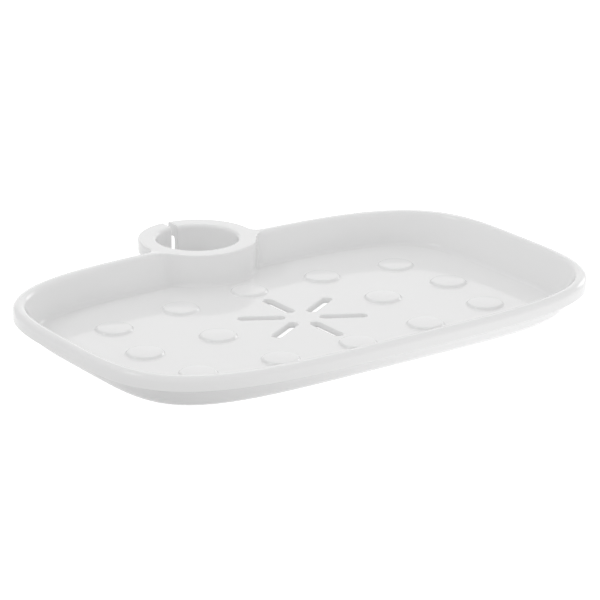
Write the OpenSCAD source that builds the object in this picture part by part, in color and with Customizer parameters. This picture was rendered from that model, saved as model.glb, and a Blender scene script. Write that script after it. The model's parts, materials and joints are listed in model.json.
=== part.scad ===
// Soap dish for a shower riser rail: a shallow moulded pan with a rolled rim
// and a split spring collar on its back edge that grips the rail.
// Frame: origin on the rail's axis, level with the underside.
// +X along the dish, +Y away from the pan, +Z up. Millimetres.

/* [Dish] */
// Overall length of the dish along X
dish_length = 164.2; // [156:0.2:172]
// Overall width of the dish, without the collar
dish_width = 104.4; // [100:0.2:108]
// Height of the rim's crest above the underside
dish_height = 11.5; // [11.2:0.1:13]
// Thickness of the floor and walls
skin_t = 1.6; // [1.4:0.1:2]
// Squareness of the outline, where 2 is an ellipse
outline_power = 3.8; // [3.4:0.1:4.4]
// How far the inside of the wall leans in at the two ends
end_lean = 6.9; // [6:0.1:7.5]
// How far the inside of the wall leans in at the front
front_lean = 6.9; // [6:0.1:7.5]
// How far the inside of the wall leans in at the back
back_lean = 4.1; // [3.6:0.1:5]

/* [Rim] */
// Width of the rolled rim
rim_w = 3.7; // [3.2:0.1:4.2]
// Depth of the rim's outside face, from its crest down
rim_h = 4.3; // [3.8:0.1:5]

/* [Drain] */
// Width of each drain slot
slot_w = 3; // [2:0.1:3.4]
// Distance from the drain's centre to the near end arc's centre
slot_near = 6.3; // [5.4:0.1:7]
// Distance from the drain's centre to the far end arc's centre
slot_far = 17.7; // [14:0.1:18.4]

/* [Soap rests] */
// Diameter of each soap rest where it meets the floor
rest_d = 10.8; // [8:0.1:12]
// Height of each soap rest above the floor
rest_h = 1; // [0.6:0.05:1.2]

/* [Rail collar] */
// Bore of the collar, for a 25 mm riser rail
bore_d = 25; // [24.6:0.1:25.4]
// Outside diameter of the collar's flange
collar_d = 36; // [35:0.1:37]
// Outside diameter of the tube below the flange
tube_d = 29; // [27.6:0.1:31]
// Height of the collar's top above the underside
collar_h = 11.2; // [10.8:0.1:11.4]
// Width of the slit between the two spring arms
slit_w = 2.2; // [1.6:0.1:3.2]
// Radius of the rounded edge at the mouth of the bore
mouth_r = 1; // [0.6:0.1:1.2]

/* [Hidden] */
$fn = 96;
eps = 0.01;
cut_under = 1;                  // how far cuts start below the underside
cut_h = 30;                     // height of cuts that clear the whole dish
cut_reach = 40;                 // reach of cuts from the rail's axis, past the collar

// Rim and walls. The leans are measured from the rim's centre line.
drain_y = -54.8;                // centre of the drain
pan_y = drain_y - 1.15;         // centre of the rim's outline
rim_r = rim_w / 2;
rim_half = [dish_length / 2 - rim_r, dish_width / 2 - rim_r];  // to the rim's centre line
rim_z = dish_height - rim_r;    // height of the rim's centre line
lip_z = dish_height - rim_h;    // underside of the rim
lip_chamfer = 0.4;              // on the rim's lower outside edge
foot_half = rim_half - [end_lean, (front_lean + back_lean) / 2];
foot_shift = [0, (front_lean - back_lean) / 2];  // the foot's centre from the rim's
foot_power = outline_power + 0.8;                // squareness at the foot
lean_angle = atan((end_lean - rim_r) / (rim_z - skin_t));  // from upright
wall_t = skin_t / cos(lean_angle);  // thickness of the leaning wall, measured level
under_r = 3;                    // radius of the rounded edge underneath
foot_r = 1.2;                   // radius where the inside wall meets the floor
steps = 96;                     // points round the outline
angles = [for (i = [0 : steps - 1]) 360 * i / steps];

// Soap rests: [x, y] from the drain's centre, in one quarter of the pan
rest_at = [[0, 27], [25.5, 25.3], [50.5, 21.6], [53.9, 0], [29.3, 0]];
rest_chamfer = 0.2;
rest_sink = 0.6;                // how far each rest runs into the floor

// Collar
bore_r = bore_d / 2;
collar_r = collar_d / 2;
tube_r = tube_d / 2;
flange_edge_r = 0.5;            // rounded outer edge of the flange's top
overlap = 0.5;                  // how far the collar's foot runs into its tube and flange

// Webs beside the collar
web_r = 3;                      // radius of their hollow faces
web_root = 2.6;                 // how far they run in along X from the flange's edge

function signed_pow(v, power) = v < 0 ? -pow(-v, power) : pow(v, power);

// A point of a superellipse with half sizes [x, y], and the unit normal there
function oval_point(half, power, t) =
    [half.x * signed_pow(cos(t), 2 / power), half.y * signed_pow(sin(t), 2 / power)];
function oval_normal(half, power, p) =
    let (slope = [for (i = [0, 1]) signed_pow(p[i] / half[i], power - 1) / half[i]])
    slope / norm(slope);

// The rim's centre line, pushed outward by out
function rim_point(t, out) =
    let (p = oval_point(rim_half, outline_power, t))
    p + out * oval_normal(rim_half, outline_power, p);

// The inside wall at fraction down of its way to the floor, pushed outward by out
function wall_point(t, down, out) =
    let (p = oval_point(foot_half, foot_power, t))
    (1 - down) * rim_point(t, -rim_r) + down * (p + foot_shift)
        + out * oval_normal(foot_half, foot_power, p);
function down_at(z) = (rim_z - z) / (rim_z - skin_t);

// Closed level rings of points
function ring(z, points) = [for (p = points) [p.x, p.y + pan_y, z]];
function rim_ring(z, out) = ring(z, [for (t = angles) rim_point(t, out)]);
function wall_ring(z, down, out) = ring(z, [for (t = angles) wall_point(t, down, out)]);

// Rings round the rolled rim, at turns measured up from its outermost line
function rim_arc(turns) =
    [for (a = turns) rim_ring(rim_z + rim_r * sin(a), rim_r * cos(a))];

// Rings that round the wall into a level face at base_z. Stage 0 lies on that
// face and stage 3 on the wall, which stands out from the inside wall by out.
function base_arc(base_z, radius, out, stages) =
    let (tangent = radius * tan((90 - lean_angle) / 2))
    [for (i = stages) let (a = -90 + i * (90 - lean_angle) / 3)
        wall_ring(base_z + radius * (1 + sin(a)), down_at(base_z),
                  out - tangent + radius * cos(a))];

// The outside, from the underside up to the rim's crest
function outside() = concat(
    base_arc(0, under_r, wall_t, [0 : 3]),
    [wall_ring(lip_z, down_at(lip_z), wall_t),
     rim_ring(lip_z, rim_r - lip_chamfer),
     rim_ring(lip_z + lip_chamfer, rim_r)],
    rim_arc([0 : 22.5 : 90])
);

// The inside, from the crest down to the floor
function inside() = concat(
    rim_arc([112.5 : 22.5 : 157.5]),
    [wall_ring(rim_z, 0, 0)],
    base_arc(skin_t, foot_r, 0, [3 : -1 : 0])
);

// Solid skinned over a list of rings, closed at the first and the last
module stack(rings) {
    count = len(rings);
    points = [for (r = rings) each r];
    sides = [for (k = [0 : count - 2]) for (i = [0 : steps - 1])
        let (j = (i + 1) % steps, this = k * steps, next = this + steps)
        each [[this + i, next + i, this + j], [this + j, next + i, next + j]]];
    first = [for (i = [0 : steps - 1]) i];
    last = [for (i = [0 : steps - 1]) count * steps - 1 - i];
    polyhedron(points = points, faces = concat([first], sides, [last]), convexity = 6);
}

module soap_rest() {
    straight_h = rest_sink + rest_h - rest_chamfer;
    cylinder(d = rest_d, h = straight_h, $fn = 48);
    translate([0, 0, straight_h])
        cylinder(d1 = rest_d, d2 = rest_d - 2 * rest_chamfer, h = rest_chamfer, $fn = 48);
}

// The rests, mirrored into all four quarters; one on an axis isn't doubled
module soap_rests() {
    for (side_x = [-1, 1], side_y = [-1, 1], p = rest_at)
        if ((p.x > 0 || side_x > 0) && (p.y > 0 || side_y > 0))
            translate([side_x * p.x, drain_y + side_y * p.y, skin_t - rest_sink])
                soap_rest();
}

// Outline of the +X web between the collar and a straight edge at y = edge.
// Its hollow arc lies on the side (+1 or -1 along Y) of the edge, and the web
// runs past the edge the other way by sink.
module web(edge, side, sink) {
    arc_y = edge + side * web_r;
    arc_x = sqrt(pow(collar_r + web_r, 2) - arc_y * arc_y);
    touch = [arc_x, arc_y] * collar_r / (collar_r + web_r);  // where the arc meets the collar
    root_x = touch.x - web_root;
    sink_y = edge - side * sink;
    difference() {
        polygon([[arc_x, edge], [arc_x, arc_y], touch, [root_x, touch.y],
                 [root_x, sink_y], [arc_x, sink_y]]);
        translate([arc_x, arc_y]) circle(r = web_r);
    }
}

module web_pair(z, height, edge, side, sink) {
    translate([0, 0, z]) linear_extrude(height) {
        web(edge, side, sink);
        mirror([1, 0]) web(edge, side, sink);
    }
}

// Webs that run the rim (first) and the back wall (second) into the collar
module webs() {
    web_pair(z = lip_z + 0.3, height = collar_h - lip_z - 0.5,
             edge = pan_y + dish_width / 2 - 0.12, side = 1, sink = 1.3);
    web_pair(z = skin_t - 0.4, height = rim_z - skin_t,
             edge = pan_y + rim_half.y - 3.2, side = -1, sink = 2.2);
}

// Six round-ended slots in a star
module drain_slots() {
    height = skin_t + 3;
    for (a = [30 : 60 : 330]) translate([0, drain_y, -cut_under]) rotate([0, 0, a]) {
        translate([slot_near, -slot_w / 2, 0]) cube([slot_far - slot_near, slot_w, height]);
        for (x = [slot_near, slot_far]) translate([x, 0, 0]) cylinder(d = slot_w, h = height);
    }
}

// What rounding removes from a corner at the collar's top
module corner_waste(square_x, arc_x, radius) {
    z = collar_h - radius;
    difference() {
        translate([square_x, z]) square([radius + eps, radius + eps]);
        translate([arc_x, z]) circle(r = radius);
    }
}

// Section of the collar on the bore's axis: a tube with a flange at its top
module collar_section() {
    flange_x = collar_r - flange_edge_r;
    difference() {
        union() {
            translate([bore_r, 0]) square([tube_r - bore_r, collar_h]);
            translate([bore_r, lip_z]) square([collar_r - bore_r, collar_h - lip_z]);
        }
        corner_waste(bore_r - eps, bore_r + mouth_r, mouth_r);
        corner_waste(flange_x, flange_x, flange_edge_r);
    }
}

// One sprung arm of the collar: a quarter turn of it, up to the slit
module arm() {
    difference() {
        intersection() {
            rotate_extrude() collar_section();
            translate([0, 0, -cut_under]) cube([cut_reach, cut_reach, cut_h]);
        }
        translate([-1, 0, -cut_under]) cube([1 + slit_w / 2, cut_reach, cut_h]);
    }
}

// The pan: floor, walls, rolled rim, soap rests and drain, with room for the collar
module dish_pan() color([0.93, 0.93, 0.93]) {
    difference() {
        union() {
            stack(concat(outside(), inside()));
            soap_rests();
            webs();
        }
        translate([0, 0, -cut_under]) cylinder(r = collar_r, h = cut_h);
        drain_slots();
    }
}

// The fixed front half of the split collar, which runs down to the floor where
// it stands in the pan
module rail_collar() color([0.9, 0.91, 0.92]) {
    difference() {
        union() {
            rotate_extrude() collar_section();
            difference() {
                intersection() {
                    cylinder(r = collar_r, h = lip_z + overlap);
                    stack(outside());
                }
                translate([0, 0, -cut_under]) cylinder(r = tube_r - overlap, h = cut_h);
            }
        }
        translate([-cut_reach, 0, -cut_under]) cube([2 * cut_reach, cut_reach, cut_h]);
    }
}

module clip_arm_right() color([0.88, 0.9, 0.92]) arm();
module clip_arm_left() color([0.88, 0.9, 0.92]) mirror([1, 0, 0]) arm();

dish_pan();
rail_collar();
clip_arm_left();
clip_arm_right();
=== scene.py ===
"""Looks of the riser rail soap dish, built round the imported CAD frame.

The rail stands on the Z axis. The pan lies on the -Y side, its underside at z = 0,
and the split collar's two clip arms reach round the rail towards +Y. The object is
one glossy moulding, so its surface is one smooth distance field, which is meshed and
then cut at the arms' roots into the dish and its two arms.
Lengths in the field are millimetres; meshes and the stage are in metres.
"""
import json
import math

import bmesh
import bpy
import numpy as np
from mathutils import Matrix, Vector


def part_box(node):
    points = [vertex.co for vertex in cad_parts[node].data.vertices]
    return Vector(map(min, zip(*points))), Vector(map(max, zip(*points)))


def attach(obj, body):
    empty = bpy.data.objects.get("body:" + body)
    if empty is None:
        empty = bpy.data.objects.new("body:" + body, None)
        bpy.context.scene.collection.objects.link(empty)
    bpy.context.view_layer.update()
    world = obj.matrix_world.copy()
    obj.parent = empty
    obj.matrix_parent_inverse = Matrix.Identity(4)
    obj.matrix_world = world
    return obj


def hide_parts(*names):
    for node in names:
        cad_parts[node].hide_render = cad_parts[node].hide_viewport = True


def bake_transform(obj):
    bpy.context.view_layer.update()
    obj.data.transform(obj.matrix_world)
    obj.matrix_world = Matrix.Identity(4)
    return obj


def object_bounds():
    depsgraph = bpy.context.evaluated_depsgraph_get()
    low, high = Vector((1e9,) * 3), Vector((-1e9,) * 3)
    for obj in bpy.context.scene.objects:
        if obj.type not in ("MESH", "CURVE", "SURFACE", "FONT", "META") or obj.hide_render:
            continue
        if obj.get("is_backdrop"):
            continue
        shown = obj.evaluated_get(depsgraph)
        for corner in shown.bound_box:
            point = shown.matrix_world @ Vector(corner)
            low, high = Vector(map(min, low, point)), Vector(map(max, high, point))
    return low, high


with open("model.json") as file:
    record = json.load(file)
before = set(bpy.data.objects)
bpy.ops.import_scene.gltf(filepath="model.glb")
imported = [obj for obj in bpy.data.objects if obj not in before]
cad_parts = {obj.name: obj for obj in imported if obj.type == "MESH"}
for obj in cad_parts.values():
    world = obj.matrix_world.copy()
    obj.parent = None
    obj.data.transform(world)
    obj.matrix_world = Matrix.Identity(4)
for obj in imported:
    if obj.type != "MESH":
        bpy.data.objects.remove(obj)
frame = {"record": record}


def plain(value):
    """Nested vectors as nested lists of floats."""
    if isinstance(value, (list, tuple, Vector)):
        return [plain(item) for item in value]
    return float(value)


cad_bounds = plain(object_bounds())

# ---------------------------------------------------------------- dimensions
MM = 1000.0                                 # millimetres in a metre
pan_lo, pan_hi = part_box("dish_pan")
arm_lo, arm_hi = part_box("clip_arm_right")

# rolled rim: its centre line is a superellipse
RIM_R = 1.85
RIM_TOP = pan_hi.z * MM
RIM_Z = RIM_TOP - RIM_R
RIM_Y = -55.95                              # middle of the centre line
RIM_A = pan_hi.x * MM - RIM_R               # half length in X
RIM_B = RIM_Y - pan_lo.y * MM - RIM_R       # half width in Y
RIM_POWER = 3.786
LIP_Z = RIM_TOP - 4.3                       # lower edge of the rim
LIP_EDGE, LIP_FILLET = 0.4, 0.8

# floor, and the foot of the inside wall
SKIN = 1.6
FOOT_A, FOOT_B, FOOT_Y, FOOT_POWER = RIM_A - 6.9, RIM_B - 5.5, RIM_Y + 1.4, 4.6
LEAN_MIN, LEAN_MAX = 3.4, 9.0               # how far the wall leans out from foot to rim
FLOOR_FILLET = 1.2

# split collar
COLLAR_R = arm_hi.x * MM
COLLAR_TOP = arm_hi.z * MM
COLLAR_EDGE = 0.45
STEP_START, STEP_WIDTH = 0.4, 3.0           # change of height from collar to rim, outside COLLAR_R
BORE_R = next(m["dims"]["r_mm"] for m in frame["record"]["mounts"] if m["name"] == "rail_bore")
BORE_EDGE = 1.0
TUBE_R, TUBE_FILLET = 14.5, 2.0             # tube below the collar's flange
WEB_OUT, WEB_IN = 3.0, 2.2                  # fillets beside the collar, outside and inside the pan
SLIT_HALF, SLIT_START, SLIT_EDGE = arm_lo.x * MM, 6, 0.15
UNDER_TUBE, UNDER_PAN = 0.6, 3.0            # radius of the bottom edge, at the tube and at the pan
UNDER_START, UNDER_WIDTH = 1, 6.0           # where it changes, outside TUBE_R

# star of six drain slots
STAR_Y = RIM_Y + 1.15
SLOT_W, SLOT_NEAR, SLOT_FAR, SLOT_DRAFT, SLOT_EDGE = 3.3, 6.6, 17.3, 0.7, 0.3
SLOT_TURN = math.pi / 3

# round soap rests, set out symmetrically about the star
REST_SPOTS = ((0, 27.0), (25.5, 25.3), (50.5, 21.6), (53.9, 0), (29.3, 0))    # x, y
RESTS = [(side * x, STAR_Y + end * y)
         for x, y in REST_SPOTS
         for side in ((1, -1) if x else (1,))
         for end in ((1, -1) if y else (1,))]
REST_D, REST_H, REST_EDGE, REST_FILLET = 10.8, 1.0, 0.8, 0.5
REST_ROOT_Z = 0.8                           # a rest starts inside the floor
CROWN_R = 60.0                              # radius of a rest's slightly crowned top

# sampling lattice, a little larger than the moulding
PITCH = 0.45
GRID_HALF_X = 84.0
GRID_Y = pan_lo.y * MM - 2.03, COLLAR_R + 2
GRID_Z = -1.17, RIM_TOP + 1.4

CUT_Y = 0.0                                 # the arms' roots


# ------------------------------------------------------------ distance field
def gauge(x, y, half_x, half_y, power):
    """Superellipse function (1 on the curve), its gradient, and the gradient's length."""
    ax, ay = np.abs(x) / half_x, np.abs(y) / half_y
    largest = np.maximum(ax, ay) + 1e-9
    level = largest * ((ax / largest) ** power + (ay / largest) ** power) ** (1 / power)
    gx, gy = (ax / level) ** (power - 1) / half_x, (ay / level) ** (power - 1) / half_y
    return level, gx * np.sign(x), gy * np.sign(y), np.hypot(gx, gy) + 1e-12


def outline(x, y, half_x, half_y, power, reach=12):
    """Signed distance to a superellipse, negative inside, corrected once within reach."""
    level, gx, gy, steep = gauge(x, y, half_x, half_y, power)
    dist = (level - 1) / steep
    step = np.clip(dist, -reach, reach)
    level, _, _, steep = gauge(x - step * gx / steep, y - step * gy / steep,
                               half_x, half_y, power)
    return dist + np.where(np.abs(dist) < reach, (level - 1) / steep, 0)


def ease(start, end, t):
    """Smooth change from start at t = 0 to end at t = 1."""
    t = np.clip(t, 0, 1)
    return start + (end - start) * (t * t * (3 - 2 * t))


def join(one, other, radius):
    """Union with a concave fillet."""
    u, v = np.maximum(radius - one, 0), np.maximum(radius - other, 0)
    return np.maximum(radius, np.minimum(one, other)) - np.sqrt(u * u + v * v)


def meet(one, other, radius):
    """Intersection with a rounded edge."""
    return -join(-one, -other, radius)


def slot_distance(x, y):
    """Distance to the nearest drain slot, each a round-ended bar."""
    y = y - STAR_Y
    turn = np.round((np.arctan2(y, x) - SLOT_TURN / 2) / SLOT_TURN) * SLOT_TURN + SLOT_TURN / 2
    along = x * np.cos(turn) + y * np.sin(turn)
    across = -x * np.sin(turn) + y * np.cos(turn)
    along = along - np.clip(along, SLOT_NEAR, SLOT_FAR)
    return np.sqrt(along * along + across * across) - SLOT_W / 2


def plan(x, y):
    """Everything that depends on x and y only."""
    radius = np.sqrt(x * x + y * y)
    rim = outline(x, y - RIM_Y, RIM_A, RIM_B, RIM_POWER)
    foot = outline(x, y - FOOT_Y, FOOT_A, FOOT_B, FOOT_POWER)
    # the wall runs from its foot on the floor to a tangent on the rim's roll
    lean = np.clip(foot - rim, LEAN_MIN, LEAN_MAX)
    rise = RIM_Z - SKIN
    angle = np.arctan2(rise, lean) + np.arcsin(RIM_R / np.sqrt(rise * rise + lean * lean))
    rest = np.full(np.broadcast(x, y).shape, 1e3)
    for rest_x, rest_y in RESTS:
        rest = np.minimum(rest, np.hypot(x - rest_x, y - rest_y))
    web = ease(WEB_IN, WEB_OUT, (rim + RIM_R) / (2 * RIM_R))
    off_collar = (radius - COLLAR_R - STEP_START) / STEP_WIDTH
    return dict(
        radius=radius, rim=rim, sin=np.sin(angle), cos=np.cos(angle), rest=rest,
        flange=join(radius - COLLAR_R, np.abs(rim) - RIM_R, web),
        top=ease(COLLAR_TOP, RIM_TOP, off_collar),
        top_edge=ease(COLLAR_EDGE, RIM_R, off_collar),
        under_edge=ease(UNDER_TUBE, UNDER_PAN, (radius - TUBE_R - UNDER_START) / UNDER_WIDTH),
        slot=slot_distance(x, y),
        slit=np.maximum(np.abs(x) - SLIT_HALF, SLIT_START - y))


def field(at, z):
    """Distance to the moulding, negative inside, from plan values and heights."""
    inner = RIM_R + at["rim"] * at["sin"] - (z - RIM_Z) * at["cos"]   # inside face of the wall
    side = join(inner - SKIN, at["radius"] - TUBE_R, TUBE_FILLET)
    body = meet(side, -z, at["under_edge"])
    body = np.maximum(body, z - (RIM_Z + RIM_R * at["cos"]))
    rim = meet(meet(at["flange"], z - at["top"], at["top_edge"]), LIP_Z - z, LIP_EDGE)
    under_lip = join(np.maximum(body, z - LIP_Z - LIP_FILLET), rim, LIP_FILLET)
    solid = np.minimum(np.minimum(body, rim), under_lip)
    hollow = meet(meet(inner, COLLAR_R - at["radius"], WEB_IN), SKIN - z, FLOOR_FILLET)
    solid = np.maximum(solid, -hollow)
    crown = np.sqrt(at["rest"] ** 2 + (z - (SKIN + REST_H - CROWN_R)) ** 2) - CROWN_R
    disc = meet(at["rest"] - REST_D / 2, crown, REST_EDGE)
    solid = join(solid, np.maximum(disc, REST_ROOT_Z - z), REST_FILLET)
    slot = at["slot"] + SLOT_DRAFT * (1 - np.clip(z / SKIN, 0, 1))
    solid = meet(solid, -slot, SLOT_EDGE)
    solid = meet(solid, BORE_R - at["radius"], BORE_EDGE)
    return meet(solid, -at["slit"], SLIT_EDGE)


def field_at(points):
    return field(plan(points[:, 0], points[:, 1]), points[:, 2])


def slope(points, step=0.02):
    """Gradient of the field, by central differences."""
    grad = np.empty_like(points)
    for i in range(3):
        shift = np.zeros(3)
        shift[i] = step
        grad[:, i] = (field_at(points + shift) - field_at(points - shift)) / (2 * step)
    return grad


def settle(points, rounds=3, cap=0.3, flat=None):
    """Moves points on to the surface, by at most cap a round; flat holds one axis still."""
    for _ in range(rounds):
        grad = slope(points)
        if flat is not None:
            grad[:, flat] = 0
        squared = np.maximum((grad * grad).sum(1), 1e-6)
        move = -field_at(points)[:, None] * grad / squared[:, None]
        length = np.linalg.norm(move, axis=1, keepdims=True)
        points = points + move * np.minimum(1, cap / np.maximum(length, 1e-9))
    return points


def normals(points):
    grad = slope(points)
    return grad / np.maximum(np.linalg.norm(grad, axis=1, keepdims=True), 1e-9)


# ------------------------------------------------------------------- meshing
# The four cells round a lattice edge, for an edge along X, Y and Z.
RING = (((0, -1, -1), (0, 0, -1), (0, 0, 0), (0, -1, 0)),
        ((-1, 0, -1), (-1, 0, 0), (0, 0, 0), (0, 0, -1)),
        ((-1, -1, 0), (0, -1, 0), (0, 0, 0), (-1, 0, 0)))

# The triangles made from one, by its number of split edges. Columns 0-2 are its
# corners, and 3-5 the middles of the edges 0-1, 1-2 and 2-0.
SPLITS = (([0, 1, 2],),
          ([0, 3, 2], [3, 1, 2]),
          ([0, 1, 4], [0, 4, 5], [5, 4, 2]),
          ([0, 3, 5], [3, 1, 4], [5, 4, 2], [3, 4, 5]))


def lattice(pitch):
    """The lattice's first point, and the field at all its points."""
    count = int(math.ceil(2 * GRID_HALF_X / pitch)) // 2 * 2 + 1
    x = (np.arange(count) - (count - 1) / 2) * pitch
    y = np.arange(*GRID_Y, pitch)
    z = np.arange(*GRID_Z, pitch)
    at = plan(x[:, None], y[None, :])
    values = np.empty((len(x), len(y), len(z)), np.float32)
    for k, height in enumerate(z):
        values[:, :, k] = field(at, height)
    return np.array([x[0], y[0], z[0]]), values


def mesh_field(pitch):
    """Surface net: a point in each cell the surface crosses, a quad round each crossed edge."""
    origin, values = lattice(pitch)
    inside = values < 0
    corners = list(np.ndindex(2, 2, 2))
    nx, ny, nz = np.array(values.shape) - 1
    filled = np.zeros((nx, ny, nz), np.int8)
    for i, j, k in corners:
        filled += inside[i:nx + i, j:ny + j, k:nz + k]
    crossed = (filled > 0) & (filled < 8)
    cells = np.argwhere(crossed)
    index = np.full(crossed.shape, -1, np.int64)
    index[crossed] = np.arange(len(cells))

    # a cell's point is the mean of the crossings on its edges
    value = {corner: values[tuple((cells + corner).T)].astype(float) for corner in corners}
    total, count = np.zeros((len(cells), 3)), np.zeros(len(cells))
    for near in corners:
        for axis in range(3):
            if near[axis]:
                continue
            far = tuple(1 if i == axis else near[i] for i in range(3))
            hit = (value[near] < 0) != (value[far] < 0)
            total[hit] += near
            total[hit, axis] += value[near][hit] / (value[near][hit] - value[far][hit])
            count[hit] += 1
    points = (cells + total / count[:, None]) * pitch + origin

    faces = []
    for axis in range(3):
        low, high = [slice(1, -1)] * 3, [slice(1, -1)] * 3
        low[axis], high[axis] = slice(0, -1), slice(1, None)
        edges = np.argwhere(inside[tuple(low)] != inside[tuple(high)])
        outside_first = ~inside[tuple(low)][tuple(edges.T)]
        base = edges + 1
        base[:, axis] -= 1
        quads = np.stack([index[tuple((base + offset).T)] for offset in RING[axis]], 1)
        quads[outside_first] = quads[outside_first][:, ::-1]
        faces.append(quads)
    return refine(settle(points), np.concatenate(faces))


def split_triangles(tris, mids):
    """Splits triangles at the edge middles in mids, where -1 is an edge left whole."""
    is_split = mids >= 0
    count = is_split.sum(1)
    # read each from its one split edge or, with two split, from the whole one
    first = np.where(count == 1, is_split.argmax(1), is_split.argmin(1))
    order = (first[:, None] + np.arange(3)) % 3
    table = np.hstack([np.take_along_axis(part, order, 1) for part in (tris, mids)])
    return np.concatenate([table[count == number][:, columns]
                           for number, made in enumerate(SPLITS) for columns in made])


def refine(points, quads, rounds=2, bend=14.0):
    """Halves the quads, then splits the triangles wherever the surface turns sharply."""
    normal = normals(points)

    def agree(one, other):
        return (normal[one] * normal[other]).sum(1)

    a, b, c, d = quads.T
    flip = (agree(a, c) < agree(b, d))[:, None]
    tris = np.concatenate([np.where(flip, quads[:, flipped], quads[:, usual])
                           for flipped, usual in (([1, 2, 3], [0, 1, 2]), ([1, 3, 0], [0, 2, 3]))])
    for _ in range(rounds):
        # edge i runs from corner i to i + 1
        edges = np.stack([tris, np.roll(tris, -1, 1)], 2).reshape(-1, 2)
        keys, back = np.unique(edges.min(1) * len(points) + edges.max(1), return_inverse=True)
        start, end = keys // len(points), keys % len(points)
        split = agree(start, end) < math.cos(math.radians(bend))
        mids = np.full(len(keys), -1, np.int64)
        mids[split] = len(points) + np.arange(split.sum())
        added = settle((points[start[split]] + points[end[split]]) / 2, cap=0.15)
        points = np.concatenate([points, added])
        normal = np.concatenate([normal, normals(added)])
        tris = split_triangles(tris, mids[back].reshape(-1, 3))
    return points, tris


def new_mesh(name, points, faces):
    mesh = bpy.data.meshes.new(name)
    mesh.vertices.add(len(points))
    mesh.vertices.foreach_set("co", (points / MM).astype(np.float32).ravel())
    mesh.loops.add(faces.size)
    mesh.loops.foreach_set("vertex_index", faces.astype(np.int32).ravel())
    mesh.polygons.add(len(faces))
    starts = np.arange(0, faces.size, faces.shape[1], dtype=np.int32)
    mesh.polygons.foreach_set("loop_start", starts)
    mesh.update(calc_edges=True)
    mesh.validate()
    return mesh


def shade(mesh):
    """Smooth shading with the field's own normals, so that the cut at an arm's root is hidden."""
    co = np.zeros(len(mesh.vertices) * 3)
    mesh.vertices.foreach_get("co", co)
    mesh.polygons.foreach_set("use_smooth", np.ones(len(mesh.polygons), bool))
    mesh.normals_split_custom_set_from_vertices(normals(co.reshape(-1, 3) * MM).tolist())
    mesh.update()


def cut_moulding(margin=0.002):
    """The whole moulding as a bmesh, with an edge loop all round at CUT_Y."""
    whole = new_mesh("moulding", *mesh_field(PITCH))
    bm = bmesh.new()
    bm.from_mesh(whole)
    bpy.data.meshes.remove(whole)
    near = [f for f in bm.faces
            if min(v.co.y for v in f.verts) < CUT_Y + margin
            and max(v.co.y for v in f.verts) > CUT_Y - margin]
    geom = set(near)
    for face in near:
        geom.update(face.edges)
        geom.update(face.verts)
    cut = bmesh.ops.bisect_plane(bm, geom=list(geom), dist=1e-7,
                                 plane_co=(0, CUT_Y, 0), plane_no=(0, 1, 0))
    on_cut = [g for g in cut["geom_cut"] if isinstance(g, bmesh.types.BMVert)]
    settled = settle(np.array([v.co[:] for v in on_cut]) * MM, rounds=2, flat=1)
    for vert, (x, _, z) in zip(on_cut, settled):
        vert.co = (x / MM, CUT_Y, z / MM)
    return bm


def part(moulding, name, keep):
    """One closed piece: the faces whose middles keep() wants, capped where they were cut."""
    bm = moulding.copy()
    drop = [f for f in bm.faces if not keep(f.calc_center_median())]
    bmesh.ops.delete(bm, geom=drop, context="FACES")
    bmesh.ops.edgeloop_fill(bm, edges=[e for e in bm.edges if e.is_boundary])
    bmesh.ops.recalc_face_normals(bm, faces=bm.faces[:])
    mesh = bpy.data.meshes.new(name)
    bm.to_mesh(mesh)
    bm.free()
    shade(mesh)
    obj = bpy.data.objects.new(name, mesh)
    bpy.context.scene.collection.objects.link(obj)
    return obj


# -------------------------------------------------------------- shader nodes
def feed(tree, node, inputs):
    """Sets a node's inputs; one given as a socket is linked."""
    for key, value in inputs.items():
        if isinstance(value, bpy.types.NodeSocket):
            tree.links.new(value, node.inputs[key])
        else:
            node.inputs[key].default_value = value


def add_node(tree, kind, inputs, **settings):
    node = tree.nodes.new("ShaderNode" + kind)
    for name, value in settings.items():
        setattr(node, name, value)
    feed(tree, node, inputs)
    return node


def ramp(tree, value, low, high, start=0.0, end=1.0, shape="LINEAR"):
    """Runs from low to high as value goes from start to end."""
    inputs = {"Value": value, "From Min": start, "From Max": end, "To Min": low, "To Max": high}
    return add_node(tree, "MapRange", inputs, interpolation_type=shape).outputs["Result"]


def dot(tree, vector, direction):
    inputs = {0: vector, 1: direction}
    return add_node(tree, "VectorMath", inputs, operation="DOT_PRODUCT").outputs["Value"]


def new_material(name):
    mat = bpy.data.materials.new(name)
    mat.use_nodes = True
    return mat, mat.node_tree, mat.node_tree.nodes["Principled BSDF"]


def white_plastic():
    mat, tree, bsdf = new_material("glossy_white_plastic")
    coord = tree.nodes.new("ShaderNodeTexCoord").outputs["Object"]

    def noise(scale, detail):
        inputs = {"Vector": coord, "Scale": scale, "Detail": detail}
        return add_node(tree, "TexNoise", inputs).outputs["Fac"]

    # a very faint unevenness of tone; 6 and 7 are the mix's colour inputs, 2 its colour output
    tone = ramp(tree, noise(scale=28, detail=3), low=0.985, high=1.0)
    colour = add_node(tree, "Mix", {"Factor": 1.0, 6: (0.89, 0.89, 0.89, 1), 7: tone},
                      data_type="RGBA", blend_type="MULTIPLY")
    # a long, shallow waviness that bends reflections
    wave = add_node(tree, "Bump", {"Height": noise(scale=60, detail=2),
                                   "Strength": 0.01, "Distance": 0.0005})
    feed(tree, bsdf, {
        "Base Color": colour.outputs[2],
        "Roughness": ramp(tree, noise(scale=90, detail=4), low=0.04, high=0.08),
        "Normal": wave.outputs["Normal"],
        "IOR": 1.5})
    return mat


# --------------------------------------------------------------------- build
moulding = cut_moulding()
dish = part(moulding, "dish_moulding", lambda c: c.y < CUT_Y)
right = part(moulding, "clip_arm_right_moulding", lambda c: c.y > CUT_Y and c.x > 0)
left = part(moulding, "clip_arm_left_moulding", lambda c: c.y > CUT_Y and c.x < 0)
moulding.free()

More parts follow.
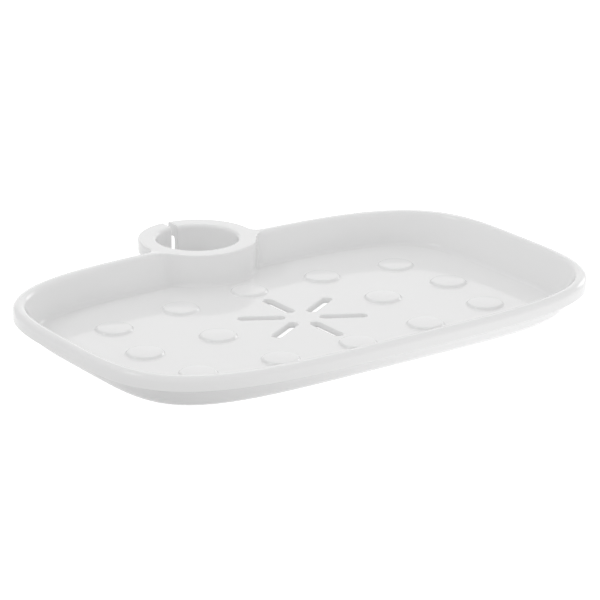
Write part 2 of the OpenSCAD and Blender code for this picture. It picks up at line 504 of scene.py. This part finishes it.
plastic = white_plastic()
for piece in (dish, left, right):
    piece.data.materials.append(plastic)

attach(dish, "dish")
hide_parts("dish_pan", "rail_collar")
for arm, side, arm_x in ((right, "right", 0.018), (left, "left", -0.018)):
    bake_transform(arm)
    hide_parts(f"clip_arm_{side}")

# -------------------------------------------------------------------- stage
scene = bpy.context.scene
AZIMUTH, ELEVATION, ROLL = (math.radians(a) for a in (-35.691, 19.29, 0.368))    # of the camera


def ground(half, z, seen, left_glow, right_glow):
    """A pale ground that glows evenly to look at. The light it throws on the object
    grows towards the camera's right, and fades to none under the dish as a painted shadow."""
    mesh = bpy.data.meshes.new("floor")
    corners = [(-half, -half, z), (half, -half, z), (half, half, z), (-half, half, z)]
    mesh.from_pydata(corners, [], [(0, 1, 2, 3)])
    obj = bpy.data.objects.new("floor", mesh)
    scene.collection.objects.link(obj)
    mat, tree, bsdf = new_material("floor")
    diffuse = tree.nodes.new("ShaderNodeLightPath").outputs["Is Diffuse Ray"]
    place = tree.nodes.new("ShaderNodeNewGeometry").outputs["Position"]
    across = dot(tree, place, (0.812, -0.583, 0))
    grow = ramp(tree, across, left_glow, right_glow, -0.01, 0.09, "SMOOTHSTEP")

    # painted shadow of the dish: an ellipse, measured as 1 at its edge, inside which the ground's
    # thrown light fades out
    half_x, half_y, middle_y = 0.05, 0.03125, -0.055
    scaled = add_node(tree, "VectorMath", {0: place, 1: (1 / half_x, 1 / half_y, 0),
                                           2: (0, -middle_y / half_y, 0)},
                      operation="MULTIPLY_ADD")
    away = add_node(tree, "VectorMath", {0: scaled.outputs["Vector"]}, operation="LENGTH")
    outside_painted_shadow = ramp(tree, away.outputs["Value"], low=0.0, high=1.0, start=0.6, end=1.0)
    # the light thrown on the object, with the painted shadow under the dish cut out of it
    glow = add_node(tree, "Math", {0: grow, 1: outside_painted_shadow}, operation="MULTIPLY")
    pick = add_node(tree, "Mix", {"Factor": diffuse, "A": seen, "B": glow.outputs["Value"]},
                    data_type="FLOAT")
    feed(tree, bsdf, {
        "Base Color": (0.45, 0.45, 0.45, 1),
        "Roughness": 0.9,
        "Specular IOR Level": 0.0,
        "Emission Color": (1, 1, 1, 1),
        "Emission Strength": pick.outputs["Result"]})
    mat.cycles.emission_sampling = "NONE"
    mesh.materials.append(mat)
    obj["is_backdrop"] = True


# Bright spots: direction, angle of full strength, angle where it ends (degrees), strength.
SPOTS = (((0.95, 0.25, 0.22), 6, 14, 2.0),
         ((-0.59, 0.28, 0.65), 5, 10, 3.5),
         ((0.583, 0.812, 0.30), 12, 32, 0.36),
         ((0.583, 0.812, 1.2), 8, 14, 1.5))


def studio(below, above, side):
    """Light from all round, going from below to above (tilted away from the camera),
    side stronger on the camera's right and weaker on its left, plus the spots."""
    world = bpy.data.worlds.new("studio")
    scene.world = world
    world.use_nodes = True
    tree = world.node_tree
    coord = tree.nodes.new("ShaderNodeTexCoord").outputs["Generated"]

    def along(direction, *limits):
        return ramp(tree, dot(tree, coord, direction), *limits, "SMOOTHSTEP")

    sin, cos = math.sin(AZIMUTH), math.cos(AZIMUTH)
    total = along((-0.3 * sin, 0.3 * cos, 1.0), below, above, -0.22, 0.85)
    lights = [along((cos, sin, 0.0), -side, side, -1.0, 1.0)]
    for direction, inner, outer, strength in SPOTS:
        lights.append(along(Vector(direction).normalized(), 0, strength,
                            math.cos(math.radians(outer)), math.cos(math.radians(inner))))
    for light in lights:
        total = add_node(tree, "Math", {0: total, 1: light}, operation="ADD").outputs[0]
    feed(tree, tree.nodes["Background"], {"Strength": total, "Color": (1, 1, 1, 1)})


def camera(distance, shift_right, shift_up):
    """A long lens that looks at the middle of the drain star, shifted in its own plane."""
    back = Vector((math.sin(AZIMUTH) * math.cos(ELEVATION),
                   -math.cos(AZIMUTH) * math.cos(ELEVATION), math.sin(ELEVATION)))
    across = (-back).cross(Vector((0, 0, 1))).normalized()
    up = across.cross(-back)
    rolled_across = across * math.cos(ROLL) + up * math.sin(ROLL)
    rolled_up = -across * math.sin(ROLL) + up * math.cos(ROLL)
    pose = Matrix((rolled_across, rolled_up, back)).transposed().to_4x4()
    pose.translation = (Vector((0, STAR_Y / MM, SKIN / MM))
                        + (back * distance + across * shift_right + up * shift_up))
    cam = bpy.data.cameras.new("camera")
    cam.sensor_width = 36
    cam.lens = 168.5898
    cam.clip_start, cam.clip_end = 0.01, 20
    obj = bpy.data.objects.new("camera", cam)
    obj.matrix_world = pose
    scene.collection.objects.link(obj)
    scene.camera = obj


ground(half=6.0, z=-0.0002, seen=0.85, left_glow=0.22, right_glow=0.58)
studio(below=0.95, above=0.70, side=0.04)
camera(distance=0.8132697, shift_right=-0.0006813, shift_up=0.00486)
scene.view_settings.view_transform = "Standard"

{"cad": cad_bounds, "visual": plain(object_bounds())}
